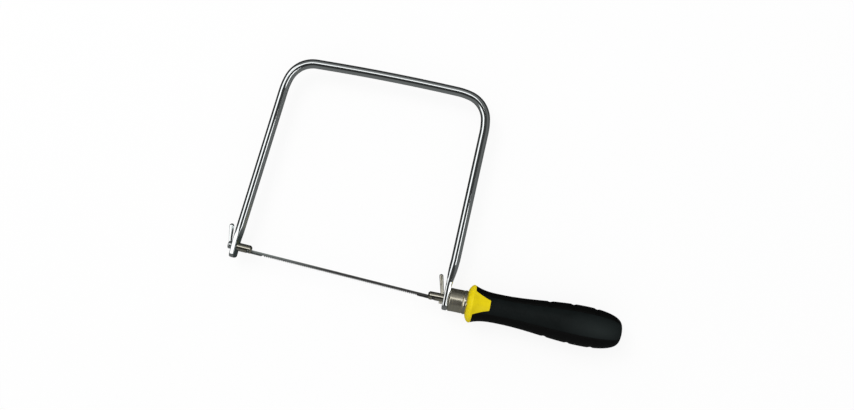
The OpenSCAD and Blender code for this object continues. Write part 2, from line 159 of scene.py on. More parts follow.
def mottle(finish, place, scale, low=0.0, high=1.0, detail=3.0):
    """Cloudy noise that runs between two values"""
    noise = add_node(finish, "ShaderNodeTexNoise", {"Vector": place, "Scale": scale, "Detail": detail})
    return ramp(finish, noise.outputs["Fac"], 0.3, 0.7, low, high)


def between(finish, factor, *tones):
    """A colour between two colours, each given as three numbers or as the output of a node"""
    first, second = [tone if isinstance(tone, bpy.types.NodeSocket) else (*tone, 1) for tone in tones]
    return add_node(finish, "ShaderNodeMix", {0: factor, 6: first, 7: second}, data_type="RGBA").outputs[2]


def clouded(finish, place, scale, first, second):
    """A colour that drifts between two colours"""
    return between(finish, mottle(finish, place, scale), first, second)


def relief(finish, shader, height, depth_mm):
    """Turns a height from 0 to 1 into bumps of a depth"""
    bumps = {"Height": height, "Strength": 1.0, "Distance": depth_mm / 1000}
    feed(finish, shader, {"Normal": add_node(finish, "ShaderNodeBump", bumps).outputs["Normal"]})


print("finish helpers ready")

# %% [markdown]
# ## Bright and dull plate
#
# The rod is polished before it is plated, so it mirrors the room. The holders are plated straight from the
# lathe and stay dull and slightly yellow. Both are metal with the colour in the reflection. A real plate is
# never even: a slow noise moves the roughness and the colour a little. The inner face of the front flat is
# painted darker, as a painted dark reflection. A bump map could add scratches too, but on a bright rod even
# faint bumps look like dents.

# %% Bright plate, with a painted dark reflection on the inner face of the front flat
inner_face_x = front_pin.x - 0.011
face_fade = 0.0003
painted_reflection_from_y = front_pin.y + 0.019
painted_reflection_full_y = front_pin.y + 0.008
bright_plate, shader, place = new_finish("bright_plate", {"Metallic": 1.0})
polished = clouded(bright_plate, place, 35, (0.84, 0.88, 0.88), (0.77, 0.8, 0.8))
plate_x = reading_along(bright_plate, place, x_way)
plate_y = reading_along(bright_plate, place, y_way)
inner_side = ramp(bright_plate, plate_x, inner_face_x - face_fade, inner_face_x + face_fade)
at_foot = ramp(bright_plate, plate_y, painted_reflection_from_y, painted_reflection_full_y)
on_leg = maths(bright_plate, "LESS_THAN", plate_x, front_pin.x)
# Painted reflection: the inner face of the front flat is painted darker, standing in for a dark reflection
painted_reflection_mask = maths(bright_plate, "MULTIPLY", maths(bright_plate, "MULTIPLY", inner_side, at_foot), on_leg)
feed(bright_plate, shader, {
    "Base Color": between(bright_plate, painted_reflection_mask, polished, (0.2, 0.25, 0.25)),
    "Roughness": mottle(bright_plate, place, 90, 0.04, 0.09),
})
print("finish of the rod:", bright_plate.name)

# %% Dull plate
dull_plate, shader, place = new_finish("dull_plate", {"Metallic": 1.0})
feed(dull_plate, shader, {
    "Base Color": clouded(dull_plate, place, 320, (0.76, 0.73, 0.62), (0.62, 0.59, 0.49)),
    "Roughness": mottle(dull_plate, place, 300, 0.06, 0.13),
})
print("finish of the holders:", dull_plate.name)

# %% [markdown]
# ## Blade steel and the ferrule's satin plate
#
# The blade is spring steel, blued by its hardening, with fine rolling marks along its length. Its tone is
# painted lighter at the front and darker towards the rear, as a painted reflection, and painted shade darkens
# its teeth. The ferrule was spun against an abrasive, so its marks run round it, and its mouth is rubbed
# brighter. Both are noises that a Mapping node stretches: the cells become long streaks along the blade, and
# thin rings round the ferrule.

# %% Blued steel
painted_shade_from_x, painted_shade_to_x = -0.14, -0.08
tooth_shade_full_y, tooth_shade_clear_y = front_pin.y - 0.0018, front_pin.y - 0.0012
blued_steel, shader, place = new_finish("blued_steel", {"Metallic": 0.35})
streak_place = mapped(blued_steel, place, Scale=(30, 2200, 2200))
streaks = mottle(blued_steel, streak_place, 1.0, detail=4.0)
# Painted reflection along the blade: lighter at the front, darker towards the rear
rearward_painted_shade = ramp(blued_steel, reading_along(blued_steel, place, x_way), painted_shade_from_x, painted_shade_to_x)
front_tone = between(blued_steel, streaks, (0.26, 0.29, 0.28), (0.19, 0.21, 0.2))
rear_painted_shade_tone = between(blued_steel, streaks, (0.075, 0.075, 0.071), (0.05, 0.05, 0.047))
strip_tone_with_painted_shade = between(blued_steel, rearward_painted_shade, front_tone, rear_painted_shade_tone)
across_blade = reading_along(blued_steel, place, y_way)
# Painted shade: the blade is painted darker along its tooth edge
painted_tooth_shade = ramp(blued_steel, across_blade, tooth_shade_full_y, tooth_shade_clear_y, 0.75, 0.0)
feed(blued_steel, shader, {
    "Base Color": between(blued_steel, painted_tooth_shade, strip_tone_with_painted_shade, (0.02, 0.021, 0.021)),
    "Roughness": mottle(blued_steel, streak_place, 0.6, 0.26, 0.42),
})
relief(blued_steel, shader, streaks, 0.006)
print("finish of the blade:", blued_steel.name)

# %% Satin plate
handle_slope = rear_slope.angle_signed(Vector((1, 0)))
rubbed_from_mm = 12.4
satin_plate, shader, place = new_finish("satin_plate", {"Metallic": 0.95})
from_mouth = measured_from(satin_plate, place, on_handle @ Vector((0, 0, rubbed_from_mm)))
level_place = mapped(satin_plate, from_mouth, Rotation=(0, 0, -handle_slope))
rubbed = ramp(satin_plate, reading_along(satin_plate, level_place, x_way), 0.0, 0.0006, 1.0, 0.4)
ring_place = mapped(satin_plate, level_place, Scale=(900, 12, 12))
rings = mottle(satin_plate, ring_place, 1.0, detail=4.0)
satin = mottle(satin_plate, place, 160, 0.22, 0.29)
feed(satin_plate, shader, {
    "Base Color": between(satin_plate, rings, (0.72, 0.68, 0.56), (0.57, 0.54, 0.43)),
    "Roughness": maths(satin_plate, "MULTIPLY", satin, rubbed),
})
print("handle slopes", round(handle_slope * 180 / pi, 2), "degrees to the blade")

# %% [markdown]
# ## Yellow plastic, black rubber and the nut's brass
#
# The core is moulded in a satin mould, so the plastic has a very fine grain and a soft gloss. The rubber is
# nearly black, with a matt moulded texture, darker bands along its two edges, and small dots towards the
# butt, where the palm pushes. The patch of dots is also painted lighter, as a painted sheen. Dots of 0.8 mm
# would take a hundred thousand faces as a mesh. A Voronoi texture gives the same rounded dots as relief, and
# masks keep the dots and the bands in their places. The nut is inside the handle and keeps its imported
# solid, with a finish of turned brass.

# %% Yellow plastic
yellow_plastic, shader, place = new_finish("yellow_plastic", {"IOR": 1.46, "Specular IOR Level": 0.18})
feed(yellow_plastic, shader, {
    "Base Color": clouded(yellow_plastic, place, 160, (0.8, 0.64, 0.0), (0.73, 0.57, 0.0)),
    "Roughness": mottle(yellow_plastic, place, 700, 0.32, 0.44),
})
relief(yellow_plastic, shader, mottle(yellow_plastic, place, 2600), 0.01)
print("finish of the core:", yellow_plastic.name)

# %% Black rubber: the dots under the palm
palm_at_mm = 131.0
palm_dot_mm = 0.8
moulded_rubber, shader, place = new_finish("moulded_rubber", {"IOR": 1.42, "Specular IOR Level": 0.2})
from_palm = measured_from(moulded_rubber, place, on_handle @ Vector((0, 0, palm_at_mm)))
face_place = mapped(moulded_rubber, from_palm, Rotation=(0, 0, -handle_slope), Scale=(1, 1, 0))
dots = add_node(moulded_rubber, "ShaderNodeTexVoronoi", {
    "Vector": face_place, "Scale": 1000 / palm_dot_mm, "Randomness": 0.25,
}, voronoi_dimensions="2D")
domes = ramp(moulded_rubber, dots.outputs["Distance"], 0.15, 0.5, 1.0, 0.0)
patch_place = mapped(moulded_rubber, face_place, Scale=(30, 80, 0))
off_palm = add_node(moulded_rubber, "ShaderNodeVectorMath", {0: patch_place}, operation="LENGTH")
dots_and_sheen_patch = ramp(moulded_rubber, off_palm.outputs["Value"], 0.1, 1.1, 1.0, 0.0)
dotted = maths(moulded_rubber, "MULTIPLY", domes, dots_and_sheen_patch)
skin = mottle(moulded_rubber, place, 2400, 0, 0.35, 4.0)
relief(moulded_rubber, shader, maths(moulded_rubber, "ADD", dotted, skin), 0.05)
print("dots are", palm_dot_mm, "mm apart")

# %% Black rubber: the face, the palm's painted sheen and the dark bands
edge_arc = radians(53)
band_fade = radians(4)


def off_axis(way):
    """How far a point of the rubber lies off the handle's axis, to either side"""
    on_saw = (on_grip.to_3x3() @ Vector(way)).normalized()
    return maths(moulded_rubber, "ABSOLUTE", reading_along(moulded_rubber, from_palm, on_saw))


from_edge = maths(moulded_rubber, "ARCTAN2", off_axis(y_way), off_axis(x_way))
on_face = ramp(moulded_rubber, from_edge, edge_arc, edge_arc + band_fade)
plain_tone = clouded(moulded_rubber, place, 120, (0.0042, 0.0072, 0.0072), (0.0032, 0.0056, 0.0056))
# Painted sheen: the palm patch is painted lighter than the rest of the face
palm_painted_sheen_tone = between(moulded_rubber, dots_and_sheen_patch, plain_tone, (0.013, 0.0185, 0.0182))
feed(moulded_rubber, shader, {
    "Base Color": between(moulded_rubber, on_face, (0.0024, 0.0026, 0.0025), palm_painted_sheen_tone),
    "Roughness": mottle(moulded_rubber, place, 500, 0.46, 0.6),
})
print("finish of the grip:", moulded_rubber.name)

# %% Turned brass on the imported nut
turned_brass, shader, place = new_finish("turned_brass", {"Metallic": 1.0})
feed(turned_brass, shader, {
    "Base Color": clouded(turned_brass, place, 400, (0.78, 0.6, 0.28), (0.66, 0.48, 0.2)),
    "Roughness": mottle(turned_brass, place, 900, 0.2, 0.34),
})
frame["nodes"]["handle_nut"].data.materials.clear()
frame["nodes"]["handle_nut"].data.materials.append(turned_brass)
print("finish of the nut:", turned_brass.name)

# %% [markdown]
# ## Bench tools
#
# Most pieces of the saw come off a lathe, so most start as an outline that is spun about Z. Primitives such
# as a cylinder would do for a plain pin, but a spin also gives steps, cones and domes in one go. Slots and
# holes are cut afterwards, as on the real piece, with a Boolean. The last tool puts a shape in its place,
# shades it smooth and hands it to the body that it moves with.

# %% Turn, move, soften and cut a shape
merge_gap = 0.0005
hair = 0.01


def turned(outline, steps=96, ring=False):
    """Spins an outline of (radius, distance along Z) points about Z into a closed solid"""
    shape = bmesh.new()
    points = [shape.verts.new((radius, 0, along)) for radius, along in outline]
    edges = [shape.edges.new(pair) for pair in zip(points, points[1:])]
    if ring:
        edges.append(shape.edges.new((points[-1], points[0])))
    bmesh.ops.spin(
        shape, geom=points + edges, cent=(0, 0, 0), axis=z_way, angle=2 * pi, steps=steps, use_merge=True
    )
    bmesh.ops.remove_doubles(shape, verts=shape.verts, dist=merge_gap)
    bmesh.ops.recalc_face_normals(shape, faces=shape.faces)
    return shape


def round_bar(radius, low, high, steps=32):
    """A plain round bar along Z"""
    return turned([(0, low), (radius, low), (radius, high), (0, high)], steps)


def shifted(shape, way):
    """Moves a whole shape"""
    bmesh.ops.translate(shape, vec=way, verts=shape.verts)
    return shape


def tipped(shape, angle, axis):
    """Turns a whole shape about an axis through the origin"""
    bmesh.ops.rotate(shape, cent=(0, 0, 0), matrix=Matrix.Rotation(angle, 3, axis), verts=shape.verts)
    return shape


def soften(shape, width, segments, sharper_than, only=lambda edge: True):
    """Rounds the edges that are sharper than an angle in degrees"""
    sharp = [
        edge for edge in shape.edges
        if edge.is_manifold and edge.calc_face_angle() > radians(sharper_than) and only(edge)
    ]
    bmesh.ops.bevel(
        shape, geom=sharp, offset=width, offset_type="OFFSET", segments=segments,
        profile=0.5, affect="EDGES", material=-1, clamp_overlap=True,
    )


def mesh_of(shape, name):
    """Turns a shape into a mesh and lets the shape go"""
    mesh = bpy.data.meshes.new(name)
    shape.to_mesh(mesh)
    shape.free()
    return mesh


def placed(name, data):
    """A new object in the scene"""
    made = bpy.data.objects.new(name, data)
    bpy.context.scene.collection.objects.link(made)
    return made


def combined(body, tool, operation="DIFFERENCE"):
    """Cuts or joins two shapes with a Boolean modifier, and gives the result back as a new shape"""
    helpers = [placed("helper", mesh_of(shape, "helper")) for shape in (body, tool)]
    boolean = helpers[0].modifiers.new("cut", "BOOLEAN")
    boolean.operation = operation
    boolean.object = helpers[1]
    result = bmesh.new()
    result.from_object(helpers[0], bpy.context.evaluated_depsgraph_get())
    for helper in helpers:
        bpy.data.meshes.remove(helper.data)
    bmesh.ops.remove_doubles(result, verts=result.verts, dist=merge_gap)
    return result


def new_points(made):
    """The vertices among what an operator made"""
    return [item for item in made if isinstance(item, bmesh.types.BMVert)]


print("points closer than", merge_gap, "mm are merged")

# %% Finish a piece
def finished(shape, name, matrix, finish, body, keep_sharp=32):
    """Puts a shape in its place in metres as the piece that stands for a node of that name"""
    bmesh.ops.transform(shape, matrix=matrix, verts=shape.verts)
    open_edges = sum(not edge.is_manifold for edge in shape.edges)
    mesh = mesh_of(shape, name)
    mesh.shade_smooth()
    mesh.set_sharp_from_angle(angle=radians(keep_sharp))
    mesh.materials.append(finish)
    piece = placed(name + "_look", mesh)
    even = piece.modifiers.new("even", "WEIGHTED_NORMAL")
    even.keep_sharp = True
    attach(piece, body)
    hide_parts(name)
    triangles = sum(len(face.vertices) - 2 for face in mesh.polygons)
    print(name, "has", triangles, "triangles and", open_edges, "open edges")


print("finishing helper ready")

# %% [markdown]
# ## The frame's rod
#
# The frame is one 8 mm rod, bent twice, with a bar that is bowed very slightly. A curve with a round bevel
# would make the bends, but not the flattened ends. Here one ring of vertices is carried along the rod like a
# bending jig: straight stretches are extrusions, and each bend is a few spins, each about its own centre.
# Every vertex keeps its angle round the ring in an attribute, which new vertices inherit when they are
# extruded, so a ring can be laid out again as a rounded flat where a leg's end was pressed.

# %% Sizes of the frame, and where its bends lie
rod_r = 4.0
leg_offset = 12.0
throat_depth = 172.7
bend_r = 25.0
ease_r = 60.0
bow_r = 1900.0
bow_crown = 184.0
bow_lift = 0.25
front_lean = radians(3.15)
rear_lean = radians(1.65)
front_up = Vector((sin(front_lean), cos(front_lean)))
rear_up = Vector((-sin(rear_lean), cos(rear_lean)))
front_in = Vector((front_up.y, -front_up.x))
rear_in = Vector((-rear_up.y, rear_up.x))
front_foot = Vector((-leg_offset, 0))
rear_foot = Vector((blade_span, 0)) + leg_offset * rear_slope
bow_centre = Vector((bow_crown, throat_depth + bow_lift + rod_r - bow_r))


def leg_rise(foot, up, inward):
    """Length of a leg from its foot to a plain bend that touches both the leg and the bow"""
    from_bow = foot + inward * bend_r - bow_centre
    along = from_bow.dot(up)
    return sqrt(along * along - from_bow.length_squared + (bow_r - bend_r) ** 2) - along


def eased_bend(foot, up, inward, tight_r, to_bow, to_leg):
    """Centres and radii of a bend: a wide arc off the leg, a tight one, and a wide one onto the bow.

    to_bow and to_leg move the tight arc from the plain bend. The last arc is left out where it has no room"""
    plain = foot + up * leg_rise(foot, up, inward) + inward * bend_r
    tight = plain + (plain - bow_centre).normalized() * to_bow - inward * to_leg
    gap = ease_r - tight_r
    aside = ease_r - (tight - foot).dot(inward)
    off_leg = tight + inward * aside - up * sqrt(gap * gap - aside * aside)
    arcs = [(off_leg, ease_r), (tight, tight_r)]
    if to_bow < bend_r - tight_r:
        spread = tight - bow_centre
        wide = (bow_r - ease_r) ** 2
        rise = (wide - gap * gap + spread.length_squared) / (2 * spread.length)
        back = Vector((spread.y, -spread.x)).normalized() * copysign(1, inward.cross(up))
        onto_bow = bow_centre + spread.normalized() * rise + back * sqrt(wide - rise * rise)
        arcs.append((onto_bow, ease_r))
    return arcs


front_arcs = eased_bend(front_foot, front_up, front_in, tight_r=23.5, to_bow=1.5, to_leg=0.5)
rear_arcs = eased_bend(rear_foot, rear_up, rear_in, tight_r=22.0, to_bow=2.2, to_leg=2.2)
for end, arcs in (("front", front_arcs), ("rear", rear_arcs)):
    print(end, "bend has arcs of", [radius for centre, radius in arcs], "mm")

# %% A ring of vertices, and how it is laid, carried and bent
ring_sides = 56


def start_ring(shape):
    """A ring of vertices that remember their angle"""
    angle_of = shape.verts.layers.float.new("ring_angle")
    ring = bmesh.ops.create_circle(shape, segments=ring_sides, radius=1)["verts"]
    for index, vertex in enumerate(ring):
        vertex[angle_of] = (index + 0.5) * 2 * pi / ring_sides
    return ring


def lay(shape, ring, centre, across, beside, section):
    """Lays a ring out round a centre, at the distance that a section gives for each angle"""
    angle_of = shape.verts.layers.float["ring_angle"]
    for vertex in ring:
        angle = vertex[angle_of]
        vertex.co = centre + (across * cos(angle) + beside * sin(angle)) * section(angle)


def round_section(radius):
    """The distance of a circle from its middle, which is the same at every angle"""
    return lambda angle: radius


def ring_edges(ring):
    """The edges round a ring"""
    members = set(ring)
    return list({edge for vertex in ring for edge in vertex.link_edges if members.issuperset(edge.verts)})


def carried(shape, ring):
    """Extrudes a ring and gives the new ring, still in the same place"""
    return new_points(bmesh.ops.extrude_edge_only(shape, edges=ring_edges(ring))["geom"])


def bent(shape, ring, centre, first, last, steps):
    """Spins a ring about a centre, from one spoke to another, and gives the ring at the end"""
    return new_points(bmesh.ops.spin(
        shape, geom=list(ring) + ring_edges(ring), cent=centre.to_3d(), axis=z_way,
        angle=-first.angle_signed(last), steps=steps,
    )["geom_last"])


def closed_end(shape, ring):
    """Closes a ring with one face"""
    bmesh.ops.edgeloop_fill(shape, edges=ring_edges(ring))


print("a ring has", ring_sides, "sides")

# %% Bend the rod
front_round_from = 19.0
rear_round_from = 34.0
least_steps = 6
steps_a_radian = 16
rod = bmesh.new()


def lay_round(ring, middle, inward):
    """Lays a ring of the round rod"""
    lay(rod, ring, middle.to_3d(), inward.to_3d(), viewer_way, round_section(rod_r))


front_end = start_ring(rod)
lay_round(front_end, front_foot + front_up * front_round_from, front_in)
ring = carried(rod, front_end)
lay_round(ring, front_arcs[0][0] - front_in * ease_r, front_in)
arcs = [*front_arcs, (bow_centre, bow_r), *reversed(rear_arcs)]
spokes = [-front_in]
for (near, near_r), (far, far_r) in zip(arcs, arcs[1:]):
    spokes.append((far - near if far_r < near_r else near - far).normalized())
spokes.append(-rear_in)
for (centre, radius), first, last in zip(arcs, spokes, spokes[1:]):
    ring = bent(rod, ring, centre, first, last, least_steps + round(steps_a_radian * first.angle(last)))
rear_end = carried(rod, ring)
lay_round(rear_end, rear_foot + rear_up * rear_round_from, rear_in)
print("rod is", len(rod.faces), "faces after bending")

# %% [markdown]
# ## The pressed ends of the legs
#
# Below the bends, each leg was pressed into a flat that takes the holder's hole, and its end was rounded
# off. The rear flat is wide and thin, because the ferrule is drawn up against it. The press leaves a low
# ridge along each edge, which parts a bright and a dark band in the plate. The section is given by its
# distance from the middle at each angle: the nearest of the side's wall and the ridge's two slopes, with the
# corners eased by a power mean. Rings follow the change from round to flat, and get narrower at the tail
# like the slices of a disc. The front hole is widened from the inside, because the front nose sits partly
# in its leg.

# %% The section of a pressed leg
crispness = 22


def pressed_section(half_t, half_w, roundness, left_side, left_tilt, right_tilt, ridge):
    """The distance of a pressed leg's section from its middle, mixed with the round rod's.

    The slopes on both sides of the ridge are tilted, and ridge is its place as a share of half_t"""
    left_d = cos(left_tilt) * half_w + sin(left_tilt) * ridge * half_t
    right_d = cos(right_tilt) * half_w - sin(right_tilt) * ridge * half_t

    def section(angle):
        sideways, upwards = cos(angle) * left_side, abs(sin(angle))
        side = abs(sideways) / half_t
        left = (upwards * cos(left_tilt) + sideways * sin(left_tilt)) / left_d
        right = (upwards * cos(right_tilt) - sideways * sin(right_tilt)) / right_d
        pressed = sum(max(wall, 0) ** crispness for wall in (side, left, right)) ** (-1 / crispness)
        return pressed + (rod_r - pressed) * roundness
    return section


def clamped(share):
    """A share kept between 0 and 1"""
    return min(max(share, 0), 1)


def eased(share):
    """A share from 0 to 1 that starts and ends gently"""
    share = clamped(share)
    return share * share * (3 - 2 * share)


def leg_faces(flat_to, round_from, inner, outer):
    """Gives the inner and the outer face of a leg at a height, as distances from its pin"""
    def at(height):
        share = clamped((height - flat_to) / (round_from - flat_to))
        return [flat + (on_rod - flat) * share for flat, on_rod in (inner, outer)]
    return at


print("corners are eased with a power of", crispness)

# %% Lay the rings of both flats
flat_edge_r = 1.6
leg_tail = 10.2
press_rings = 14
tail_rings = 14
tail_sweep = 84


def pressed_end(shape, ring, faces, half_w, round_from, flat_from, origin, along, up, slopes):
    """Carries a leg's ring down over its flat and closes the rounded tail"""
    across = -along.to_3d()
    tail_mid = half_w - leg_tail
    left_side = copysign(1, -across.x)

    def station(height, width, roll_off):
        share = eased((height - flat_from) / (round_from - flat_from))
        inner, outer = faces(height)
        half_t = (outer - inner) / 2 - roll_off
        centre = origin + along * (inner + outer) / 2 + up * height
        return centre.to_3d(), across, viewer_way, pressed_section(half_t, width, share, left_side, **slopes)

    stations = [
        station(round_from + (flat_from - round_from) * step / press_rings, half_w, 0)
        for step in range(1, press_rings + 1)
    ]
    stations.append(station(tail_mid, half_w, 0))
    for step in range(1, tail_rings + 1):
        turn = radians(tail_sweep * step / tail_rings)
        into_edge = max(half_w * sin(turn) - (half_w - flat_edge_r), 0)
        roll_off = flat_edge_r - sqrt(flat_edge_r ** 2 - into_edge ** 2)
        stations.append(station(tail_mid - half_w * sin(turn), half_w * cos(turn), roll_off))
    for laid in stations:
        ring = carried(shape, ring)
        lay(shape, ring, *laid)
    closed_end(shape, ring)


pressed_end(
    rod, front_end, leg_faces(4.0, front_round_from, inner=(8.25, 6.954), outer=(15.15, 14.954)),
    half_w=4.75, round_from=front_round_from, flat_from=5.0,
    origin=Vector((0, 0)), along=Vector((-1, 0)), up=Vector((0, 1)),
    slopes={"left_tilt": radians(22), "right_tilt": radians(50), "ridge": -0.17},
)
pressed_end(
    rod, rear_end, leg_faces(10.7, rear_round_from, inner=(8.7, 8.653), outer=(13.45, 16.653)),
    half_w=5.75, round_from=rear_round_from, flat_from=10.7,
    origin=Vector((blade_span, 0)), along=rear_slope, up=Vector((-rear_slope.y, rear_slope.x)),
    slopes={"left_tilt": radians(22), "right_tilt": radians(13), "ridge": 0.25},
)
bmesh.ops.recalc_face_normals(rod, faces=rod.faces)
print("rod is", len(rod.faces), "faces with its ends")

# %% Drill the legs and finish the frame
journal_r = 2.5
nose_r = 3.6
run_gap = 0.05
nose_depth = 10.4
drill_from, front_drill_to, rear_drill_to = 6, 18, 16
front_drill = turned([
    (0, -front_drill_to), (journal_r + run_gap, -front_drill_to), (journal_r + run_gap, -nose_depth),
    (nose_r + run_gap, -nose_depth), (nose_r + run_gap, -drill_from), (0, -drill_from),
], 64)
rear_drill = round_bar(journal_r + run_gap, drill_from, rear_drill_to, 48)
for drill, axis in ((front_drill, on_front), (rear_drill, on_rear)):
    bmesh.ops.transform(drill, matrix=in_plane.inverted() @ axis, verts=drill.verts)
    rod = combined(rod, drill)
finished(rod, "frame", in_plane, bright_plate, "frame", 40)

# %% [markdown]
# ## The blade holders
#
# Each holder is a turned spindle: a nose with a slot for the blade and a cross notch for its pin, and a
# journal that runs in the leg. The rear one goes on as a screw into the handle. The slot could be left in
# the spin by splitting it in two halves, but on the real piece it is milled after turning, and a Boolean
# with a box does just that. The cut edges are then broken with a small bevel, because a sharp edge never
# shows a glint. The screw's thread is a stack of rings, which looks the same as a helix at this size.

# %% Boxes to cut with, and the blade's seat in a nose
nose_chamfer = 1.3
slot_half = 0.6
slot_top = 0.7
slot_back = 3.4
notch_half = 1.1
blade_drop = 1.3
past_nose = 2 * nose_r


def block(low, high):
    """A box between two corners"""
    shape = bmesh.new()
    bmesh.ops.create_cube(shape, size=1)
    bmesh.ops.scale(shape, vec=[b - a for a, b in zip(low, high)], verts=shape.verts)
    return shifted(shape, [(a + b) / 2 for a, b in zip(low, high)])


def with_blade_seat(spindle, point_way):
    """Mills the blade's slot and the pin's notch into a nose that points along Z, or against it"""
    start, stop = sorted((-slot_back * point_way, past_nose * point_way))
    spindle = combined(spindle, block((-past_nose, -slot_half, start), (slot_top, slot_half, stop)))
    notch = block((-past_nose, -past_nose, -notch_half), (-blade_drop, past_nose, notch_half))
    round_end = tipped(round_bar(notch_half, -past_nose, past_nose), pi / 2, "X")
    return combined(spindle, combined(notch, shifted(round_end, (-blade_drop, 0, 0)), "UNION"))


print("slot is", 2 * slot_half, "mm wide")

# %% Turn the front spindle
front_shoulder = nose_depth - 0.1
front_cap_face = 15.25
front_nose_l = 2.8
tenon_r = 1.7
tenon_l = 2.0
broken_edge = 0.16
front_spindle = turned([
    (0, -front_cap_face - tenon_l),
    (tenon_r, -front_cap_face - tenon_l),
    (tenon_r, -front_cap_face),
    (journal_r, -front_cap_face),
    (journal_r, -front_shoulder),
    (nose_r, -front_shoulder),
    (nose_r, front_nose_l - nose_chamfer),
    (nose_r - nose_chamfer, front_nose_l),
    (0, front_nose_l),
])
front_spindle = with_blade_seat(front_spindle, 1)
soften(front_spindle, broken_edge, 2, 35)
finished(front_spindle, "front_spindle", on_front, dull_plate, "front_holder")

# %% Turn the rear spindle with its thread
rear_shoulder = 8.6
rear_nose_l = 4.8
handle_seat = 13.55
shank_l = 38.0
shank_end = handle_seat + shank_l
thread_pitch = 0.8
thread_depth = 0.45
crest = 0.1
rear_lever_at = 6.95
lever_r = 1.45
fit_gap = 0.02
threads = []
for turn in range(int((shank_l - nose_chamfer) / thread_pitch)):
    ring_at = handle_seat + turn * thread_pitch
    threads += [
        (journal_r, ring_at + crest),
        (journal_r - thread_depth, ring_at + thread_pitch / 2),
        (journal_r, ring_at + thread_pitch - crest),
    ]
rear_spindle = turned([
    (0, -rear_nose_l),
    (nose_r - nose_chamfer, -rear_nose_l),
    (nose_r, nose_chamfer - rear_nose_l),
    (nose_r, rear_shoulder),
    (journal_r, rear_shoulder),
    *threads,
    (journal_r, shank_end - nose_chamfer),
    (journal_r - nose_chamfer, shank_end),
    (0, shank_end),
], 64)
lever_hole = tipped(round_bar(lever_r + fit_gap, -9, 9, 48), pi / 2, "Y")
rear_spindle = combined(with_blade_seat(rear_spindle, -1), shifted(lever_hole, (0, 0, rear_lever_at)))
soften(rear_spindle, broken_edge, 2, 35, lambda edge: all(v.co.z < rear_shoulder + hair for v in edge.verts))
finished(rear_spindle, "rear_spindle", on_rear, dull_plate, "rear_holder")

# %% [markdown]
# ## The steering levers
#
# A lever stands on each holder, to turn the blade in its frame. The rear one is a pin pressed through the
# nose. The front one is riveted on outside the leg, with a domed cap, and has a ridge along its front. Both
# are bent away from their leg and swell to a rounded top. A cone and a ball would meet in a crease at the
# bend, so the ring from the rod is carried along the bent line instead, and its size grows on the way.

# %% Carry a ring along a bent lever
bend_lead = 0.8
swell_shares = (0.06, 0.25, 0.5, 0.75, 1.0)
crown_turns = (15, 30, 45, 60, 72, 82)


def bent_arm(below, bend, top, lean, bulb_r, section=round_section):
    """An arm up X from below the axis, leaning against Z from its bend, with a rounded top"""
    up = Vector(x_way)
    beside = Vector(y_way)
    lean_way = Vector((cos(lean), 0, -sin(lean)))
    half_way = Vector((cos(lean / 2), 0, -sin(lean / 2)))
    arm_l = (top - bulb_r - bend) / cos(lean)
    corner = up * bend
    crown = corner + lean_way * arm_l
    stations = [(up * at, up, lever_r) for at in (-below, bend - bend_lead)]
    stations.append((corner, half_way, lever_r))
    for share in swell_shares:
        swell = lever_r + (bulb_r - lever_r) * share
        stations.append((corner + lean_way * arm_l * share, lean_way, swell))
    for turn in crown_turns:
        rise = lean_way * bulb_r * sin(radians(turn))
        stations.append((crown + rise, lean_way, bulb_r * cos(radians(turn))))
    shape = bmesh.new()
    first = ring = start_ring(shape)
    for number, (centre, way, radius) in enumerate(stations):
        if number:
            ring = carried(shape, ring)
        lay(shape, ring, centre, way.cross(beside), beside, section(radius))
    closed_end(shape, first)
    closed_end(shape, ring)
    bmesh.ops.recalc_face_normals(shape, faces=shape.faces)
    return shape


rear_arm = bent_arm(below=nose_r + 1.8, bend=nose_r, top=20.0, lean=radians(14), bulb_r=1.75)
soften(rear_arm, 0.4, 4, 60)
shifted(rear_arm, (0, 0, rear_lever_at))
finished(rear_arm, "rear_lever", on_rear, dull_plate, "rear_holder")

# %% Turn the front lever's cap and join its ridged arm
cap_r = 3.4
cap_t = 3.2
cap_dome_h = cap_t - tenon_l + fit_gap
cap_dome_from = front_cap_face + cap_t - cap_dome_h
cap = turned([
    (0, -front_cap_face - tenon_l - fit_gap),
    (tenon_r + fit_gap, -front_cap_face - tenon_l - fit_gap),
    (tenon_r + fit_gap, -front_cap_face),
    (cap_r, -front_cap_face),
    *[
        (cap_r * cos(radians(turn)), -cap_dome_from - cap_dome_h * sin(radians(turn)))
        for turn in range(0, 81, 10)
    ],
    (0, -front_cap_face - cap_t),
])


def forged_section(radius):
    """A ridged section, like the pressed leg's, that parts a bright and a dark side"""
    return pressed_section(
        radius, radius, roundness=0, left_side=-1, left_tilt=radians(24), right_tilt=radians(52), ridge=-0.05
    )


front_arm = bent_arm(
    below=-2.6, bend=cap_r, top=18.4, lean=radians(8), bulb_r=2.2, section=forged_section
)
front_arm = combined(cap, shifted(front_arm, (0, 0, -front_cap_face - cap_t / 2)), "UNION")
finished(front_arm, "front_lever", on_front, bright_plate, "front_holder")

# %% [markdown]
# ## The blade and its pins
#
# The blade is a strip 0.5 mm thick with raked teeth that cut on the pull, and a pin through each end. The
# teeth could be a texture, but they are the saw's whole purpose and they show against the floor. One cell of
# the strip with one tooth is drawn, then stamped along the blade by a spin that only shifts. Every other
# tooth leans to one side, which is the set that keeps a saw from jamming in its cut.

# %% Stamp the teeth along the strip
blade_half_t = 0.25
blade_back = 0.0
tooth_tip = -3.2
gullet = -1.9
tooth_pitch = 1.7
tooth_set = 0.15
plain_end = 13
blade_tail = 3.0
tooth_count = int((blade_span - 2 * plain_end) / tooth_pitch)
first_tooth = (blade_span - tooth_count * tooth_pitch) / 2
second_tooth = first_tooth + tooth_pitch
last_tooth = first_tooth + tooth_count * tooth_pitch
lead = first_tooth - tooth_pitch
tail_end = blade_span + blade_tail
blade = bmesh.new()


def strip(*corners):
    """A flat face of the blade"""
    return blade.faces.new([blade.verts.new((x, y, -blade_half_t)) for x, y in corners])


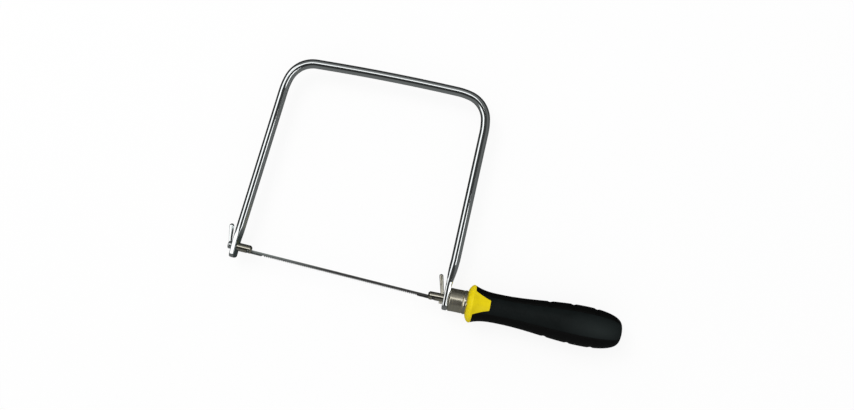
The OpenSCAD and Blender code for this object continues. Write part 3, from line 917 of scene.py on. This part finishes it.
tooth = strip(
    (first_tooth, blade_back), (first_tooth, gullet), (second_tooth, tooth_tip), (second_tooth, gullet),
    (second_tooth, blade_back),
)
bmesh.ops.spin(
    blade, geom=[tooth, *tooth.edges, *tooth.verts], cent=(0, 0, 0), axis=z_way, angle=0,
    dvec=(tooth_pitch, 0, 0), steps=tooth_count - 1, use_duplicate=True,
)
strip((lead, blade_back), (lead, tooth_tip), (first_tooth, gullet), (first_tooth, blade_back))
strip((-blade_tail, blade_back), (-blade_tail, tooth_tip), (lead, tooth_tip), (lead, blade_back))
strip(
    (last_tooth, blade_back), (last_tooth, gullet), (last_tooth, tooth_tip), (tail_end, tooth_tip),
    (tail_end, blade_back),
)
bmesh.ops.remove_doubles(blade, verts=blade.verts, dist=2 * merge_gap)
print("teeth:", tooth_count, "faces in the strip:", len(blade.faces))

# %% Give the blade its thickness, its set and its pins
raised = new_points(bmesh.ops.extrude_face_region(blade, geom=list(blade.faces))["geom"])
bmesh.ops.translate(blade, vec=(0, 0, 2 * blade_half_t), verts=raised)
bmesh.ops.recalc_face_normals(blade, faces=blade.faces)
for vertex in blade.verts:
    place_in_row = (vertex.co.x - first_tooth) / tooth_pitch
    if vertex.co.y < tooth_tip + hair and 0.5 < place_in_row < tooth_count - 0.5:
        side = 1 if round(place_in_row) % 2 else -1
        bmesh.ops.translate(blade, vec=(0, 0, side * tooth_set), verts=[vertex])

pin_r = 0.8
pin_half = 2.8
pin_places = {"front_blade_pin": (0, -blade_drop, 0), "rear_blade_pin": (blade_span, -blade_drop, 0)}
for pin_place in pin_places.values():
    blade = combined(blade, shifted(round_bar(pin_r + fit_gap, -2, 2), pin_place))
finished(blade, "blade", in_plane, blued_steel, "blade", 20)

for name, pin_place in pin_places.items():
    pin = round_bar(pin_r, -pin_half, pin_half)
    soften(pin, 0.2, 3, 60)
    finished(shifted(pin, pin_place), name, in_plane, blued_steel, "blade")

# %% [markdown]
# ## The ferrule
#
# A drawn metal cup bears on the rear leg and holds the handle's spigot. Its mouth has a shallow groove
# rolled in, which catches the light as two thin lines. A cup is a ring-shaped outline that never touches the
# axis, so the outline is closed before it is spun. The front edge is rounded by a wide bevel and the mouth
# by a narrow one.

# %% Spin the cup
ferrule_r = 10.3
ferrule_l = 15.6
ferrule_in = 9.1
ferrule_end = 1.6
ferrule_edge = 1.1
set_in = 0.18
waist_depth = 0.12
groove_at, groove_depth, groove_half_w = 12.3, 0.3, 0.4
bead_from, bead_h = 12.9, 0.28
shank_hole_r = 2.6


def spaced(first, last, count):
    """Evenly spaced distances, ends included"""
    return [first + (last - first) * step / count for step in range(count + 1)]


def ferrule_side(at):
    """Radius of the cup: a slight waist, a rolled groove and a bead at the mouth"""
    waist = waist_depth * sin(pi * at / groove_at) if at < groove_at else 0
    groove = groove_depth * exp(-(((at - groove_at) / groove_half_w) ** 2))
    bead = bead_h * sin(pi * (at - bead_from) / (ferrule_l - bead_from)) if at > bead_from else 0
    return ferrule_r - set_in - waist - groove + bead


def on_front_edge(edge):
    """Whether an edge lies round the front of the cup"""
    return all(v.co.z < hair and v.co.xy.length > ferrule_in for v in edge.verts)


ferrule = turned([
    (shank_hole_r, 0),
    (ferrule_side(0), 0),
    *[(ferrule_side(at), at) for at in spaced(1.5 * ferrule_edge, ferrule_l, 60)],
    (ferrule_in, ferrule_l),
    (ferrule_in, ferrule_end),
    (shank_hole_r, ferrule_end),
], 128, ring=True)
soften(ferrule, ferrule_edge, 8, 60, on_front_edge)
soften(ferrule, 0.14, 3, 60, lambda edge: all(v.co.z > ferrule_l - hair for v in edge.verts))
finished(ferrule, "ferrule", on_handle, satin_plate, "ferrule")

# %% [markdown]
# ## The handle's surface
#
# The handle is one smooth shape in two materials: it flares to the yellow collar, narrows to a neck, swells
# to the palm and turns in at the butt. Both moulded pieces share that surface, so its radius is one function
# of the distance from the rear leg. The yellow core shows through the rubber as a tongue on each face. A
# prism in the shape of the tongue cuts both pieces, so that they fit each other as in the mould.

# %% The handle's radius, and the prism of its tongues
neck_r, neck_at = 12.7, 45.0
collar_r, collar_at = 17.05, 19.2
belly_r, belly_at = 17.44, 118.0
handle_l = 151.2
butt_r = 6.0
butt_reach = (handle_l - belly_at) / sqrt(1 - (butt_r / belly_r) ** 4)
grip_wall = 2.6
band_end = 21.4
tongue_l = 13.9
tongue_root_w = 10.2
tongue_tip_w = 4.6
tongue_curve = 1.3
through = 40


def handle_r(at):
    """Radius of the handle at a distance from the rear leg"""
    if at < neck_at:
        return neck_r + (collar_r - neck_r) * ((neck_at - at) / (neck_at - collar_at)) ** 3
    if at < belly_at:
        return neck_r + (belly_r - neck_r) * (1 - cos(pi * (at - neck_at) / (belly_at - neck_at))) / 2
    return belly_r * (1 - ((at - belly_at) / butt_reach) ** 2) ** 0.25


def tongue_prism(gap):
    """The tongues' outline, pushed right through the handle along Y"""
    tip_at = band_end + tongue_l + gap
    flank = [(tongue_root_w, band_end - 1)]
    for share in spaced(0, 1, 12):
        width = tongue_tip_w + (tongue_root_w - tongue_tip_w) * (1 - share) ** tongue_curve
        flank.append((width, band_end + (tip_at - band_end) * share))
    corners = flank + [(-x, at) for x, at in reversed(flank)]
    shape = bmesh.new()
    outline = shape.faces.new([shape.verts.new((x + copysign(gap, x), -through, at)) for x, at in corners])
    pushed = new_points(bmesh.ops.extrude_face_region(shape, geom=[outline])["geom"])
    bmesh.ops.translate(shape, vec=(0, 2 * through, 0), verts=pushed)
    bmesh.ops.recalc_face_normals(shape, faces=shape.faces)

    def at_tip(edge):
        return edge.calc_length() > through and all(v.co.z > tip_at - hair for v in edge.verts)

    soften(shape, 1.0, 6, 30, at_tip)
    return shape


print("neck", 2 * neck_r, "belly", 2 * belly_r, "butt", round(2 * handle_r(handle_l), 2))

# %% [markdown]
# ## The yellow core
#
# The core is the strong part of the handle: a spigot inside the ferrule, the collar, and a stem that runs
# through the grip almost to the butt. A nut is moulded into it for the holder's screw. It is spun as if it
# were yellow all over, flush with the grip, and then the room for the rubber is cut away everywhere but at
# the tongues. That keeps the collar and its tongues one unbroken surface.

# %% Spin the core and cut the room for the rubber
spigot_face, spigot_r = 1.7, 9.05
bore_end, shank_bore_r = 43, 2.65
nut_from, nut_to, nut_room_r = 3.28, 23.28, 4.52
flange_to, flange_room_r = 25.82, 6.52
stem_from, stem_to = 37.0, 144
core_end = handle_l - grip_wall
rim_from, rim_in, rim_at = ferrule_l + 0.1, ferrule_r - 0.1, 20.2
rim_power = 2 / 1.7
rubber_to, rubber_out_r = 38.0, 30
rim = [
    (
        rim_in + (handle_r(rim_at) - rim_in) * sin(turn) ** rim_power,
        rim_at - (rim_at - rim_from) * cos(turn) ** rim_power,
    )
    for turn in spaced(0, pi / 2, 16)
]
core = turned([
    (0, bore_end), (shank_bore_r, bore_end), (shank_bore_r, flange_to), (flange_room_r, flange_to),
    (flange_room_r, nut_to), (nut_room_r, nut_to), (nut_room_r, nut_from), (shank_bore_r, nut_from),
    (shank_bore_r, spigot_face), (spigot_r, spigot_face), (spigot_r, rim_from), *rim,
    *[(handle_r(at), at) for at in spaced(rim_at + 0.5, stem_from, 30)],
    *[(handle_r(at) - grip_wall, at) for at in spaced(stem_from, stem_to, 40)],
    (butt_r, core_end), (0, core_end),
], 160)
rubber_room = turned([
    *[(handle_r(at) - grip_wall + fit_gap, at) for at in spaced(band_end, rubber_to, 16)],
    (rubber_out_r, rubber_to), (rubber_out_r, band_end),
], 160, ring=True)
core = combined(core, combined(rubber_room, tongue_prism(0)))
finished(core, "handle_core", on_grip, yellow_plastic, "handle", 35)

# %% [markdown]
# ## The rubber grip
#
# The grip is a thick skin of rubber over the core. Three shallow finger grooves cross its upper and its
# lower edge, and a fine line on each side divides these edges from the smooth faces. Cutting each groove
# with a Boolean would leave hard edges, and moulded rubber has none. The skin is spun with many sides
# instead, and its outer vertices are pressed inwards along their radius by a smooth function of where they
# lie.

# %% How far the grooves and lines go in
finger_at = (86.5, 107.0, 127.5)
finger_depth = 0.65
finger_r = 4.0
groove_fade = radians(5)
line_depth = 0.32
line_half_w = 0.75
line_from, line_fades_in = 50.0, 8
line_to, line_fades_out = 143.0, 5


def pressed_depth(at, turn, radius):
    """How far the rubber is pressed in at a distance and at an angle from the handle's upper edge"""
    off_edge = min(abs(turn), pi - abs(turn))
    on_band = eased((edge_arc - off_edge) / groove_fade)
    depth = 0.0
    for finger in finger_at:
        off = abs(at - finger)
        if off < finger_r:
            depth += on_band * max(finger_depth - finger_r + sqrt(finger_r ** 2 - off ** 2), 0)
    off = abs(off_edge - edge_arc) * radius
    if off < line_half_w:
        ends = eased((at - line_from) / line_fades_in) * eased((line_to - at) / line_fades_out)
        depth += line_depth * ends * (1 + cos(pi * off / line_half_w)) / 2
    return depth


print("grooves are", finger_depth, "mm deep, lines", line_depth, "mm")

# %% Spin the skin and press it
butt_rings = 44
skin_from = band_end + fit_gap
butt = [
    belly_at + (handle_l - belly_at) * sin(pi / 2 * step / butt_rings) for step in range(1, butt_rings + 1)
]
grip = turned([
    (0, core_end + fit_gap), (butt_r + fit_gap, core_end + fit_gap),
    *[(handle_r(at) - grip_wall + fit_gap, at) for at in reversed(spaced(skin_from, stem_to, 40))],
    *[(handle_r(at), at) for at in [*spaced(skin_from, belly_at, 130), *butt]],
    (0, handle_l),
], 288)
for vertex in grip.verts:
    radius = vertex.co.xy.length
    if radius > 1 and radius > handle_r(vertex.co.z) - 0.5 * grip_wall:
        turn = vertex.co.xy.angle_signed(Vector((1, 0)))
        vertex.co.xy *= 1 - pressed_depth(vertex.co.z, turn, radius) / radius
grip = combined(grip, tongue_prism(fit_gap))
finished(grip, "grip_sleeve", on_grip, moulded_rubber, "handle", 50)

# %% [markdown]
# ## The studio
#
# The saw lies on a white table and is seen from straight above. What makes plated metal look like metal is
# what it mirrors: here a grey room, a dark patch where the camera hangs, white panels to the left, to the
# right and at the top, and a dark card at the bottom. Bright lamps could make the same highlights, but they
# would also wash out the colours. The panels and the room are therefore only there for reflections, and an
# even white sky with one soft lamp lights the colours at a plain level. The table is kept out of
# reflections, because it would wash out the dark edges of the rod.

# %% Panels that only reflections see
panel_height = 2.5
panel_middle_x = -0.07


def glow(name, strength=1.0):
    """A material that only gives light, and the node that gives it"""
    finish = bpy.data.materials.new(name)
    finish.use_nodes = True
    finish.node_tree.nodes.clear()
    light = add_node(finish, "ShaderNodeEmission", {"Color": (1, 1, 1, 1), "Strength": strength})
    add_node(finish, "ShaderNodeOutputMaterial", {"Surface": light.outputs["Emission"]})
    return finish, light


def only_for_reflections(stand):
    """Hides a piece of the studio from the camera and from diffuse light"""
    for ray in ("camera", "diffuse", "shadow", "transmission", "volume_scatter"):
        setattr(stand, "visible_" + ray, False)


def studio_mesh(name, shape, finish):
    """A piece of the studio from a shape in metres"""
    mesh = mesh_of(shape, name)
    mesh.materials.append(finish)
    return placed(name, mesh)


def panel(name, low, high, tip, strength):
    """A flat panel between two corners in its own plane, tipped about Y from facing down"""
    shape = bmesh.new()
    bmesh.ops.create_grid(shape, x_segments=1, y_segments=1, size=0.5)
    bmesh.ops.scale(shape, vec=(high[0] - low[0], high[1] - low[1], 1), verts=shape.verts)
    shifted(shape, ((low[0] + high[0]) / 2, (low[1] + high[1]) / 2, panel_height))
    shifted(tipped(shape, tip, "Y"), (panel_middle_x, 0, 0))
    only_for_reflections(studio_mesh(name, shape, glow(name, strength)[0]))


panel("panel_left", (-0.75, -1.6), (0.75, 1.6), radians(-49), 1.3)
panel("panel_right", (0.91, -1.5), (1.7, 0.05), 0, 1.7)
panel("panel_top", (-1.3, 0.5), (0.5, 1.25), 0, 1.5)
panel("dark_card", (-0.7, -2.2), (1.4, -0.85), 0, 0.02)
panel("panel_top_dim", (-1.3, 1.25), (0.5, 3.2), 0, 0.35)
print("panels hang", panel_height, "m above the table")

# %% A grey room for reflections
room_r = 4.0
to_lower_right = (0.45, -0.89, 0)
room_shape = bmesh.new()
bmesh.ops.create_uvsphere(room_shape, u_segments=48, v_segments=24, radius=room_r)
grey_room, light = glow("grey_room")
on_wall = add_node(grey_room, "ShaderNodeTexCoord").outputs["Object"]
height = reading_along(grey_room, on_wall, z_way)
rightwards = reading_along(grey_room, on_wall, to_lower_right)
gently = {"interpolation_type": "SMOOTHSTEP"}
floor_tone = ramp(grey_room, rightwards, -0.45 * room_r, 0.75 * room_r, 0.025, 0.15, **gently)
ceiling_tone = ramp(grey_room, height, 0.72 * room_r, 0.95 * room_r, 0.14, 0.04, **gently)
ceiling_share = ramp(grey_room, height, 0.0, 0.35 * room_r, **gently)
room_tone = add_node(
    grey_room, "ShaderNodeMix", {0: ceiling_share, 2: floor_tone, 3: ceiling_tone}, data_type="FLOAT"
)
feed(grey_room, light, {"Color": (0.97, 1.0, 0.99, 1), "Strength": room_tone.outputs[0]})
only_for_reflections(studio_mesh("grey_room", room_shape, grey_room))
print("reflections see a room", 2 * room_r, "m wide")

# %% The white table
table_drop = 0.0005
table_half = 30
own_white = 0.88


def seen_directly(finish):
    """1 where the camera, a reflection or a clear material looks at the surface, and 0 for diffuse light"""
    path = add_node(finish, "ShaderNodeLightPath").outputs
    seen = maths(finish, "MAXIMUM", path["Is Camera Ray"], path["Is Glossy Ray"])
    return maths(finish, "MAXIMUM", seen, path["Is Transmission Ray"])


table_shape = bmesh.new()
bmesh.ops.create_grid(table_shape, x_segments=1, y_segments=1, size=table_half)
shifted(table_shape, (0, 0, -table_drop))
table_finish, shader, place = new_finish("white_table", {"Roughness": 0.9, "IOR": 1.2})
table_tone = clouded(table_finish, place, 6, (0.93, 0.93, 0.93), (0.915, 0.915, 0.915))
feed(table_finish, shader, {"Base Color": table_tone})
white = add_node(table_finish, "ShaderNodeEmission", {"Strength": 1.0})
lifted = add_node(table_finish, "ShaderNodeMixShader", {
    0: maths(table_finish, "MULTIPLY", seen_directly(table_finish), own_white),
    1: shader.outputs["BSDF"],
    2: white.outputs["Emission"],
})
feed(table_finish, table_finish.node_tree.nodes["Material Output"], {"Surface": lifted.outputs["Shader"]})
white_table = studio_mesh("white_table", table_shape, table_finish)
white_table.visible_glossy = False
print("table lies", table_drop * 1000, "mm under the saw")

# %% The sky and the lamp
sky_strength = 0.72
sky = bpy.data.worlds.new("white_sky")
bpy.context.scene.world = sky
sky.use_nodes = True
feed(sky, sky.node_tree.nodes["Background"], {
    "Color": (1, 1, 1, 1), "Strength": ramp(sky, seen_directly(sky), 0.0, 1.0, sky_strength, 1.0),
})
lamp = placed("soft_lamp", bpy.data.lights.new("soft_lamp", "AREA"))
lamp.data.shape = "DISK"
lamp.data.size = 1.6
lamp.data.energy = 28.0
lamp.location = (-1.2, 1.0, 2.2)
lamp.rotation_euler = (-lamp.location).to_track_quat("-Z", "Y").to_euler()
lamp.visible_glossy = False
print("sky", sky_strength, "and a lamp of", lamp.data.energy, "W")

# %% [markdown]
# ## The camera
#
# The picture looks square down on the frame's plane, with the saw turned so that its handle points down to
# the right. The blade's real length sets the scale: 165 mm between the pins. The bands on the plated legs
# show that the camera hung less than a metre above, so the lens is chosen to fill the picture from there.

# %% Hang the camera over the saw
picture_width = 0.7387
picture_middle = (-0.0142, -0.0077)
camera_height = 0.9
camera_turn = radians(14.15)
camera = placed("camera", bpy.data.cameras.new("camera"))
camera.data.sensor_width = 36.0
camera.data.lens = camera.data.sensor_width * camera_height / picture_width
camera.location = (*picture_middle, front_pin.z + camera_height)
camera.rotation_euler = (0, 0, camera_turn)
bpy.context.scene.camera = camera
bpy.context.scene.view_settings.view_transform = "Standard"
print("lens", round(camera.data.lens, 1), "mm")
